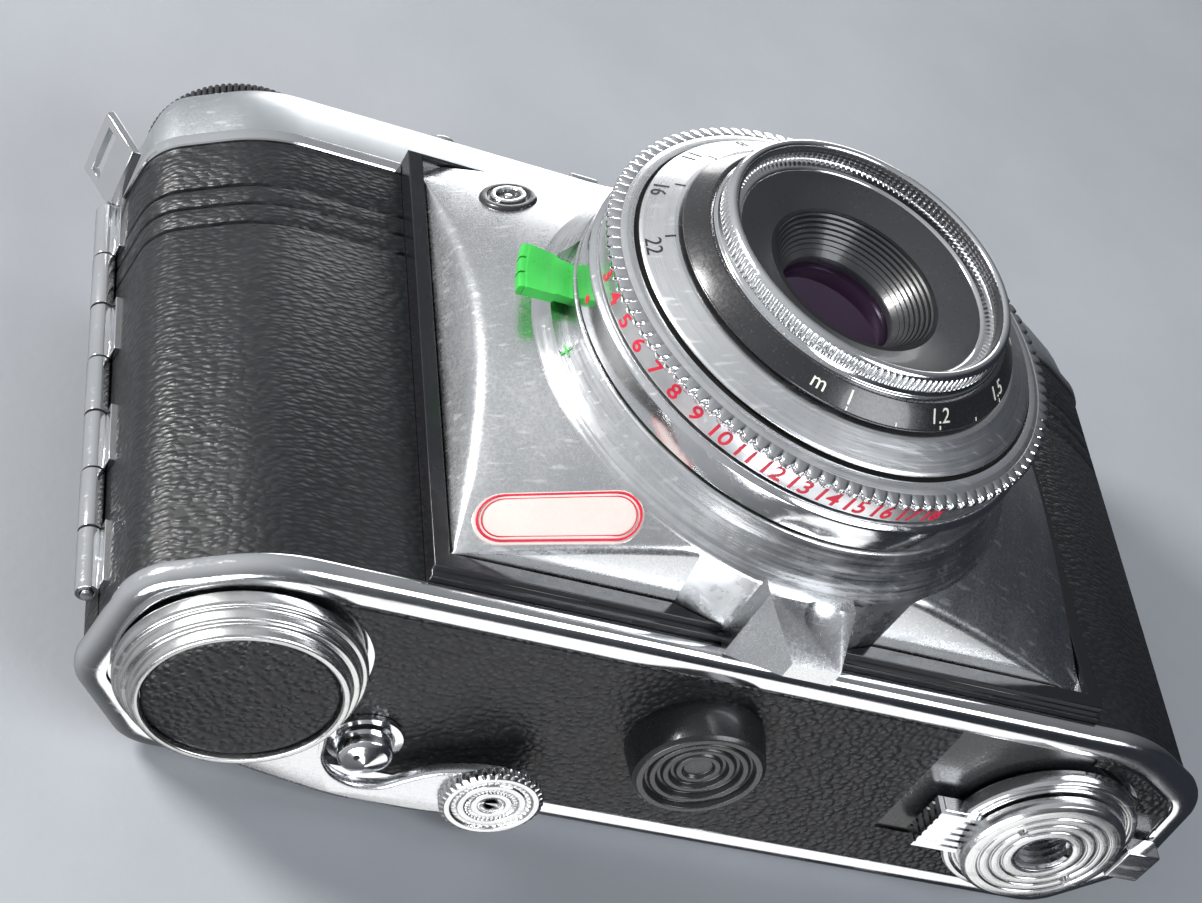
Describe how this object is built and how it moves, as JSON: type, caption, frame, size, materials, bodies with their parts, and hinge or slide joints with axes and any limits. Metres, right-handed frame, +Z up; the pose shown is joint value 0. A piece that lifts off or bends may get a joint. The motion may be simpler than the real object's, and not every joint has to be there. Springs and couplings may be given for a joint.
{
  "type": "rangefinder camera",
  "caption": "Compact 35 mm viewfinder camera with leaf shutter, ringed lens, bottom wind lever, tripod socket and side-hinged back.",
  "frame": {"origin": "centre of the bounding box in plan, at the plane the base features stand on", "axes": "+X along the body towards the rewind side, -Y out of the lens, +Z up through the top cover"},
  "size_m": [0.1284, 0.0616, 0.0844],
  "materials": {
    "dark_casting": "die-cast, satin black",
    "leather": "grained black leatherette",
    "black_frame": "gloss black lacquer",
    "satin_chrome": "fine satin",
    "bright_chrome": "polished",
    "brushed_plate": "circularly brushed",
    "cover_satin": "matt satin",
    "steel": "plain",
    "black_plastic": "matt black",
    "black_anodised": "black anodised",
    "badge_enamel": "pale enamel",
    "green_enamel": "green enamel",
    "glass": "coated glass",
    "brass": "plain",
    "blade_steel": "blackened"
  },
  "bodies": {
    "camera": {"chassis": "dark_casting", "film_gate": "steel", "front_leather_left": "leather", "front_leather_right": "leather", "front_frame": "black_frame", "front_plate": "satin_chrome", "badge": "badge_enamel", "flash_socket": "steel", "front_foot": "satin_chrome", "shutter_housing": "brushed_plate", "shutter_case": "bright_chrome", "lens_barrel": "black_anodised", "rear_cell": "black_anodised", "rear_lens": "glass", "shutter_blades": "blade_steel", "base_plate": "satin_chrome", "base_leather": "leather", "base_foot": "black_plastic", "tripod_boss": "steel", "button_collar": "bright_chrome", "top_cover": "cover_satin", "top_trim": "bright_chrome", "accessory_shoe": "bright_chrome", "viewfinder_window": "glass", "viewfinder_eyepiece": "black_plastic", "strap_lug": "bright_chrome", "hinge_knuckles": "bright_chrome", "hinge_pin": "steel"},
    "door": {"back_door": "dark_casting", "door_leather": "leather"},
    "film_pressure": {"pressure_plate": "dark_casting", "pressure_springs": "steel"},
    "winder": {"wind_lever": "satin_chrome", "lever_leather": "leather", "lever_grip": "bright_chrome"},
    "rewind_release": {"rewind_release_button": "bright_chrome"},
    "lock_ring": {"back_lock_ring": "brushed_plate"},
    "latch": {"latch_button": "bright_chrome"},
    "speed": {"speed_ring": "bright_chrome"},
    "aperture": {"aperture_ring": "bright_chrome"},
    "focus": {"distance_scale": "black_anodised", "focus_ring": "bright_chrome", "name_ring": "black_anodised", "front_lens": "glass"},
    "blade_1": {"iris_blade_1": "blade_steel"},
    "blade_2": {"iris_blade_2": "blade_steel"},
    "blade_3": {"iris_blade_3": "blade_steel"},
    "blade_4": {"iris_blade_4": "blade_steel"},
    "blade_5": {"iris_blade_5": "blade_steel"},
    "sync": {"sync_lever": "green_enamel"},
    "release_button": {"shutter_button": "bright_chrome", "shutter_spring": "steel"},
    "counter": {"counter_dial": "black_anodised"},
    "rewind_lift": {"rewind_clip": "steel"},
    "rewind": {"rewind_knob": "bright_chrome", "rewind_fork": "steel"},
    "spool": {"take_up_spool": "black_plastic", "spool_gear": "brass"},
    "sprocket": {"film_sprocket": "steel", "sprocket_gear": "brass"}
  },
  "joints": [
    {"name": "back_door_hinge", "type": "hinge", "parent": "camera", "child": "door", "pos_m": [-0.0616, 0.0159, 0.0344], "axis": [0, 0, 1], "range_deg": [0, 115]},
    {"name": "pressure_plate_slide", "type": "slide", "parent": "door", "child": "film_pressure", "axis": [0, 1, 0], "range_m": [0, 0.0008], "stiffness_N_per_m": 400, "springref_m": -0.002, "deforming": ["pressure_springs"]},
    {"name": "wind_lever_swing", "type": "hinge", "parent": "camera", "child": "winder", "pos_m": [-0.0467, 0.01435, 0.0024], "axis": [0, 0, 1], "range_deg": [0, 160], "stiffness_Nm_per_rad": 0.01, "springref_deg": -17.19},
    {"name": "rewind_release_press", "type": "slide", "parent": "camera", "child": "rewind_release", "axis": [0, 0, 1], "range_m": [0, 0.0012], "stiffness_N_per_m": 250, "springref_m": -0.001},
    {"name": "lock_ring_turn", "type": "hinge", "parent": "camera", "child": "lock_ring", "pos_m": [0.0454, 0.01485, 0.0032], "axis": [0, 0, 1], "range_deg": [0, 22]},
    {"name": "latch_slide", "type": "slide", "parent": "camera", "child": "latch", "axis": [0, -1, 0], "range_m": [0, 0.002], "stiffness_N_per_m": 200, "springref_m": -0.001},
    {"name": "speed_ring_turn", "type": "hinge", "parent": "camera", "child": "speed", "pos_m": [0.0037, -0.02065, 0.0352], "axis": [0, -1, 0], "range_deg": [-50, 50]},
    {"name": "aperture_ring_turn", "type": "hinge", "parent": "camera", "child": "aperture", "pos_m": [0.0037, -0.02415, 0.0352], "axis": [0, -1, 0], "range_deg": [0, 50]},
    {"name": "focus_turn", "type": "hinge", "parent": "camera", "child": "focus", "pos_m": [0.0037, -0.02765, 0.0352], "axis": [0, -1, 0], "range_deg": [0, 280]},
    {"name": "sync_lever_turn", "type": "hinge", "parent": "camera", "child": "sync", "pos_m": [0.0037, -0.01325, 0.0352], "axis": [0, -1, 0], "range_deg": [-3, 12]},
    {"name": "shutter_button_press", "type": "slide", "parent": "camera", "child": "release_button", "axis": [0, 0, -1], "range_m": [0, 0.002], "stiffness_N_per_m": 300, "springref_m": -0.0015, "deforming": ["shutter_spring"]},
    {"name": "counter_dial_turn", "type": "hinge", "parent": "camera", "child": "counter", "pos_m": [-0.0463, 0.01695, 0.0794], "axis": [0, 0, 1], "continuous": true},
    {"name": "rewind_knob_lift", "type": "slide", "parent": "camera", "child": "rewind_lift", "axis": [0, 0, 1], "range_m": [0, 0.006]},
    {"name": "rewind_knob_turn", "type": "hinge", "parent": "rewind_lift", "child": "rewind", "pos_m": [0.0454, 0.01485, 0.0804], "axis": [0, 0, 1], "continuous": true},
    {"name": "take_up_spool_turn", "type": "hinge", "parent": "camera", "child": "spool", "pos_m": [-0.0467, 0.01435, 0.0344], "axis": [0, 0, 1], "continuous": true},
    {"name": "film_sprocket_turn", "type": "hinge", "parent": "camera", "child": "sprocket", "pos_m": [-0.0273, 0.01695, 0.0344], "axis": [0, 0, 1], "continuous": true},
    {"name": "iris_blade_1_swing", "type": "hinge", "parent": "camera", "child": "blade_1", "pos_m": [0.0151, -0.01685, 0.0352], "axis": [0, -1, 0], "range_deg": [0, 23]},
    {"name": "iris_blade_2_swing", "type": "hinge", "parent": "camera", "child": "blade_2", "pos_m": [0.00722, -0.01685, 0.04604], "axis": [0, -1, 0], "range_deg": [0, 23]},
    {"name": "iris_blade_3_swing", "type": "hinge", "parent": "camera", "child": "blade_3", "pos_m": [-0.00552, -0.01685, 0.0419], "axis": [0, -1, 0], "range_deg": [0, 23]},
    {"name": "iris_blade_4_swing", "type": "hinge", "parent": "camera", "child": "blade_4", "pos_m": [-0.00552, -0.01685, 0.0285], "axis": [0, -1, 0], "range_deg": [0, 23]},
    {"name": "iris_blade_5_swing", "type": "hinge", "parent": "camera", "child": "blade_5", "pos_m": [0.00722, -0.01685, 0.02436], "axis": [0, -1, 0], "range_deg": [0, 23]}
  ],
  "couplings": [
    {"joint": "film_sprocket_turn", "follows": "take_up_spool_turn", "ratio": -0.94444},
    {"joint": "iris_blade_1_swing", "follows": "aperture_ring_turn", "ratio": 0.44},
    {"joint": "iris_blade_2_swing", "follows": "aperture_ring_turn", "ratio": 0.44},
    {"joint": "iris_blade_3_swing", "follows": "aperture_ring_turn", "ratio": 0.44},
    {"joint": "iris_blade_4_swing", "follows": "aperture_ring_turn", "ratio": 0.44},
    {"joint": "iris_blade_5_swing", "follows": "aperture_ring_turn", "ratio": 0.44}
  ]
}
